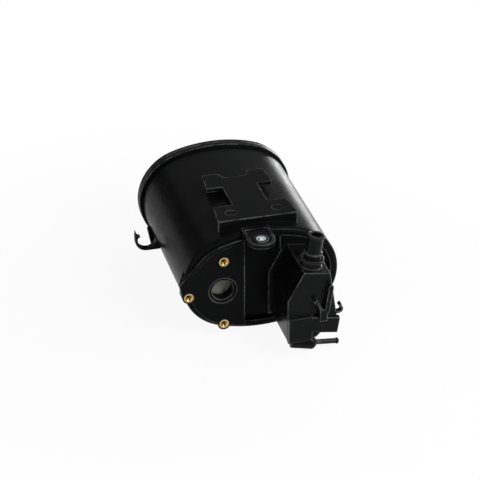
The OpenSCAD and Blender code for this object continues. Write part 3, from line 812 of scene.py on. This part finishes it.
@dataclass
class VentFilter:
    """The dust filter in the vent port: a disc of needled fleece that bulges from its socket."""

    centre: tuple[float, float] = (-37.8, -5.2)
    front_y: float = 6.0
    thickness: float = 5.0
    radius: float = 12.5
    crown: float = 1.4
    edge: float = 0.8
    tuft: float = 0.06
    tuft_pitch: float = 1.9
    # The tufts die away over this distance from the middle, where the columns meet.
    still: float = 1.0
    front_rings: int = 60
    edge_rings: int = 10
    back_rings: int = 6
    around: int = 160

    def build(self) -> list[Object]:
        """Turn the disc's profile, a crowned front, round edge and flat back, about the port's axis.

        The front lies behind the node's front plane by crown times the square of the share of the
        radius. Needling gathers it into shallow tufts, a product of two sine waves across the disc.

        Returns:
            The piece, which stands for the plain disc.
        """
        inner = self.radius - self.edge
        edge_y, back_y = self.front_y + self.crown, self.front_y + self.thickness
        front = np.linspace(0.0, inner, self.front_rings)
        share = np.linspace(0.0, 1.0, self.edge_rings + 2)[1:-1]
        out = np.concatenate((
            front,
            inner + self.edge * np.sin(np.pi * share),
            np.linspace(inner, 0.0, self.back_rings),
        ))[:, None]
        along = np.concatenate((
            self.front_y + self.crown * (front / inner) ** 2,
            edge_y + (back_y - edge_y) * ease(share),
            np.full(self.back_rings, back_y),
        ))[:, None]
        turn = np.linspace(TURN, 0.0, self.around, endpoint=False)
        x, z = self.centre[0] + out * np.cos(turn), self.centre[1] + out * np.sin(turn)
        wave = np.sin(TURN * x / self.tuft_pitch) * np.sin(TURN * z / self.tuft_pitch)
        on_front = np.arange(len(out))[:, None] < self.front_rings
        depth = self.tuft * np.where(on_front, np.clip(out / self.still, 0.0, 1.0), 0.0)
        points = surface(x, along + depth * (1.0 + wave), z)
        piece = grid_piece("vent_filter_fleece", points, Slot.FLEECE, Ends.POLES)
        return [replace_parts(piece, "vent_filter")]


@dataclass
class CarriedNodes:
    """The CAD nodes, which keep their place and form and get their finishes here."""

    slots: Mapping[str, Slot] = field(default_factory=NODE_SLOTS.copy)
    own_finish: Mapping[str, Finish] = field(
        default_factory=lambda: {"trap_housing": GLOSSY_NYLON}
    )

    def build(self, nodes: Mapping[str, Object]) -> list[Object]:
        """Dress every node.

        Args:
            nodes: node name to its object.

        Returns:
            The dressed objects.
        """
        for name, piece in nodes.items():
            self.own_finish.get(name, FINISHES[self.slots[name]]).dress(piece)
        return list(nodes.values())


@dataclass(frozen=True)
class Softbox:
    """A soft lamp that looks at the object."""

    name: str
    at: tuple[float, float, float]
    width: float
    height: float
    watts: float

    def build(self, target: Vector) -> Object:
        """Hang the lamp.

        Args:
            target: point that it faces.

        Returns:
            The lamp.
        """
        lamp = bpy.data.lights.new(self.name, "AREA")
        lamp.shape = "RECTANGLE"
        lamp.size = self.width
        lamp.size_y = self.height
        lamp.energy = self.watts
        hung = bpy.data.objects.new(self.name, lamp)
        hung.location = self.at
        hung.rotation_euler = (target - Vector(self.at)).to_track_quat("-Z", "Y").to_euler()
        hung.visible_camera = False
        bpy.context.collection.objects.link(hung)
        return hung


@dataclass
class Stage:
    """The plain studio: a pale floor, soft lamps and the camera at the photograph's angle."""

    world_colour: str = "#ffffff"
    world_level: float = 0.15
    camera_at: tuple[float, float, float] = (-0.40045, -1.4851, 0.9443)
    camera_aim: tuple[float, float, float] = (-0.01105, -0.059, 0.09714)
    lens_mm: float = 140.57
    sensor_mm: float = 36.0
    floor_half: float = 6.0
    floor_z: float = -0.0002
    floor_colour: str = "#f0f0f0"
    floor_roughness: float = 0.95
    # Share of the floor that is plain white to the eye and in mirrors; the rest takes the shadow.
    floor_white: float = 0.92
    # The floor turns wholly white between these distances from the object's middle, in metres.
    floor_clears: tuple[float, float] = (0.22, 0.42)
    lamps: tuple[Softbox, ...] = (
        Softbox("Key softbox", (0.70, -0.95, 1.00), 0.6, 0.6, 17.0),
        Softbox("Right softbox", (1.20, 0.05, 0.90), 0.8, 0.5, 6.0),
        Softbox("Left softbox", (-1.15, -0.75, 0.55), 0.6, 0.6, 3.0),
        Softbox("Edge softbox", (0.30, 0.34, 0.02), 0.5, 0.12, 1.4),
        Softbox("Rear softbox", (0.20, 1.25, 0.75), 1.6, 1.0, 2.2),
    )

    def floor_material(self) -> Material:
        """Make pale card that is white to the eye and in mirrors.

        Near the object a share of the card shows as it is lit, and so it keeps the shadow.

        Returns:
            The material.
        """
        material = bpy.data.materials.new("Pale card floor")
        material.use_nodes = True
        tree = material.node_tree
        card = tree.nodes["Principled BSDF"]
        plug(tree, card, {
            "Base Color": linear(self.floor_colour),
            "Roughness": self.floor_roughness,
            "Specular IOR Level": 0.0,
        })
        path = add_node(tree, "ShaderNodeLightPath", {})
        mirror = add_node(
            tree, "ShaderNodeMath",
            {0: path.outputs["Is Glossy Ray"], 1: path.outputs["Is Transmission Ray"]},
            operation="MAXIMUM",
        )
        seen = add_node(
            tree, "ShaderNodeMath",
            {0: path.outputs["Is Camera Ray"], 1: mirror.outputs["Value"]},
            operation="MAXIMUM",
        )
        at = add_node(tree, "ShaderNodeTexCoord", {})
        away = add_node(
            tree, "ShaderNodeVectorMath", {0: at.outputs["Object"]}, operation="LENGTH"
        )
        clear = add_node(
            tree, "ShaderNodeMapRange",
            {"Value": away.outputs["Value"], "From Min": self.floor_clears[0],
             "From Max": self.floor_clears[1], "To Min": self.floor_white, "To Max": 1.0},
        )
        share = add_node(
            tree, "ShaderNodeMath",
            {0: seen.outputs["Value"], 1: clear.outputs["Result"]},
            operation="MULTIPLY",
        )
        white = add_node(tree, "ShaderNodeEmission", {"Strength": 1.0})
        mix = add_node(
            tree, "ShaderNodeMixShader",
            {0: share.outputs["Value"], 1: card.outputs["BSDF"], 2: white.outputs["Emission"]},
        )
        plug(tree, tree.nodes["Material Output"], {"Surface": mix.outputs["Shader"]})
        return material

    def build_floor(self) -> Object:
        """Lay the floor, one square just under the object.

        Returns:
            The floor.
        """
        half, z = self.floor_half, self.floor_z
        corners = [(-half, -half, z), (half, -half, z), (half, half, z), (-half, half, z)]
        mesh = bpy.data.meshes.new("Studio floor")
        mesh.from_pydata(corners, [], [(0, 1, 2, 3)])
        mesh.materials.append(self.floor_material())
        floor = bpy.data.objects.new("Studio floor", mesh)
        bpy.context.collection.objects.link(floor)
        return floor

    def build_camera(self) -> Object:
        """Stand the camera where the photograph was taken from.

        Returns:
            The camera.
        """
        data = bpy.data.cameras.new("Camera")
        data.lens = self.lens_mm
        data.sensor_width = self.sensor_mm
        camera = bpy.data.objects.new("Camera", data)
        camera.location = self.camera_at
        look = Vector(self.camera_aim) - Vector(self.camera_at)
        camera.rotation_euler = look.to_track_quat("-Z", "Y").to_euler()
        bpy.context.collection.objects.link(camera)
        bpy.context.scene.camera = camera
        return camera

    def build(self) -> list[Object]:
        """Build the world light, the floor, the lamps and the camera.

        Returns:
            The floor, the lamps and the camera.
        """
        world = bpy.data.worlds.new("Studio")
        world.use_nodes = True
        plug(world.node_tree, world.node_tree.nodes["Background"], {
            "Color": linear(self.world_colour),
            "Strength": self.world_level,
        })
        bpy.context.scene.world = world
        bpy.context.scene.view_settings.view_transform = "Standard"
        target = Vector(self.camera_aim)
        objects = [self.build_floor()]
        objects += [lamp.build(target) for lamp in self.lamps]
        objects.append(self.build_camera())
        return objects


def main() -> None:
    """Build the visual model on the frame, then the stage."""
    logging.basicConfig(level=logging.INFO, format="%(name)s: %(message)s")
    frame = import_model()
    pieces = CarriedNodes().build(frame["nodes"])
    pieces += RearJoint().build()
    pieces += InsertThreads().build()
    pieces += BossCollars().build()
    pieces += PadLip().build()
    pieces += VentFilter().build()
    pieces += Stage().build()
    for piece in pieces:
        LOG.info("%s: %s", piece.type.lower(), piece.name)


if __name__ == "__main__":
    main()
